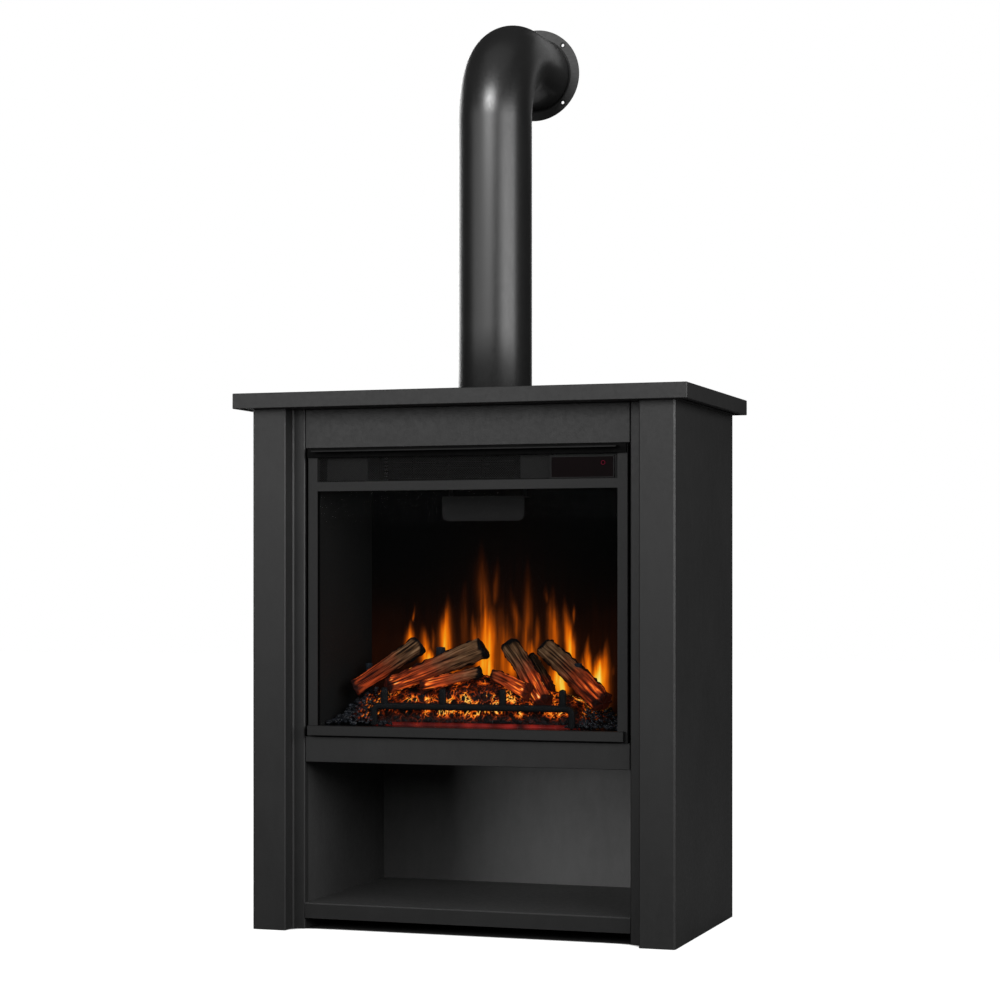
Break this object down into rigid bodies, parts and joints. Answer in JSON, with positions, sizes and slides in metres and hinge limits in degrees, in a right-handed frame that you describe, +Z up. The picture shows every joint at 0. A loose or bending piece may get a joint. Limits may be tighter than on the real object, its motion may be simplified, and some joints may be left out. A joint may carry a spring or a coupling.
{
  "type": "electric fireplace",
  "caption": "Satin black stove-style electric fireplace: mantel cabinet with open shelf, glazed firebox with log flame effect and fan heater, and a stove pipe bending back to a wall flange.",
  "frame": {"origin": "centre of the bounding box's footprint, at floor level", "axes": "+Z up, +Y to the wall behind the object, +X to the right as seen from the front"},
  "size_m": [0.822, 0.4686, 1.6535],
  "materials": {
    "satin_board": "satin black painted fibreboard",
    "inner_board": "satin black painted fibreboard",
    "shelf_board": "satin black painted fibreboard",
    "flange_paint": "satin black powder coat",
    "plate_steel": "blackened sheet",
    "pipe_paint": "satin black powder coat",
    "ring_steel": "zinc plated",
    "case_steel": "galvanised sheet",
    "screw_steel": "zinc plated",
    "frame_paint": "matt black powder coat",
    "visor_paint": "dead black moulding",
    "grille_paint": "black expanded mesh",
    "liner_paint": "matt black",
    "tray_gloss": "gloss black",
    "clear_glass": "clear tempered",
    "screen_acrylic": "smoked, lit with flames from behind",
    "ember_resin": "translucent moulded embers, lit from inside",
    "coal_resin": "moulded coal",
    "grate_paint": "matt black",
    "log_resin": "hand-coloured charred bark",
    "rotor_foil": "bright",
    "motor_steel": "zinc plated",
    "bush_rubber": "matt",
    "wheel_plastic": "matt",
    "heater_mica": "mica sheet with resistance wire",
    "cutout_plastic": "matt",
    "circuit_board": "solder resist",
    "led_board": "white solder resist",
    "display_gloss": "smoked red-black window",
    "button_lit": "black cap with a lit red ring",
    "rocker_plastic": "gloss",
    "black_plastic": "fine texture"
  },
  "bodies": {
    "fireplace": {"mantel_top": "satin_board", "left_side_panel": "satin_board", "right_side_panel": "satin_board", "left_pier_front": "satin_board", "right_pier_front": "satin_board", "pier_returns": "satin_board", "left_stile": "satin_board", "right_stile": "satin_board", "header_board": "satin_board", "lower_rail": "satin_board", "firebox_deck": "inner_board", "bottom_shelf": "shelf_board", "left_inner_panel": "inner_board", "right_inner_panel": "inner_board", "back_panel": "inner_board", "rear_stretcher": "inner_board", "cam_locks": "screw_steel", "cabinet_screws": "screw_steel", "stove_pipe": "pipe_paint", "pipe_base_ring": "ring_steel", "wall_flange": "flange_paint", "firebox_case": "case_steel", "rear_cover": "case_steel", "firebox_screws": "screw_steel", "mounting_brackets": "case_steel", "front_frame": "frame_paint", "visor": "visor_paint", "grille_mesh": "grille_paint", "grille_backing": "plate_steel", "bottom_ledge": "frame_paint", "glass_pane": "clear_glass", "side_liners": "liner_paint", "hearth_tray": "tray_gloss", "ceiling_baffle": "liner_paint", "downlight_cover": "liner_paint", "led_boards": "led_board", "flame_screen": "screen_acrylic", "ember_bed": "ember_resin", "coals": "coal_resin", "grate": "grate_paint", "left_log": "log_resin", "long_log": "log_resin", "middle_log": "log_resin", "rear_log": "log_resin", "right_log": "log_resin", "small_branches": "log_resin", "flicker_motor": "motor_steel", "rotor_bush": "bush_rubber", "blower_housing": "plate_steel", "blower_motor": "motor_steel", "heater_element": "heater_mica", "thermal_cutout": "cutout_plastic", "control_board": "circuit_board", "display_panel": "display_gloss", "mains_switch_housing": "black_plastic", "cord_gland": "black_plastic"},
    "flicker_rotor": {"flicker_rotor": "rotor_foil"},
    "blower_wheel": {"blower_wheel": "wheel_plastic"},
    "power_button": {"power_button": "button_lit"},
    "mains_switch_rocker": {"mains_switch_rocker": "rocker_plastic"}
  },
  "joints": [
    {"name": "flicker_spin", "type": "hinge", "parent": "fireplace", "child": "flicker_rotor", "pos_m": [0, 0.0287, 0.405], "axis": [1, 0, 0], "continuous": true},
    {"name": "blower_spin", "type": "hinge", "parent": "fireplace", "child": "blower_wheel", "pos_m": [0, -0.0573, 0.8175], "axis": [1, 0, 0], "continuous": true},
    {"name": "power_press", "type": "slide", "parent": "fireplace", "child": "power_button", "axis": [0, 1, 0], "range_m": [0, 0.001], "stiffness_N_per_m": 600},
    {"name": "switch_rock", "type": "hinge", "parent": "fireplace", "child": "mains_switch_rocker", "pos_m": [0.205, 0.0532, 0.47], "axis": [1, 0, 0], "range_deg": [-14, 0]}
  ]
}
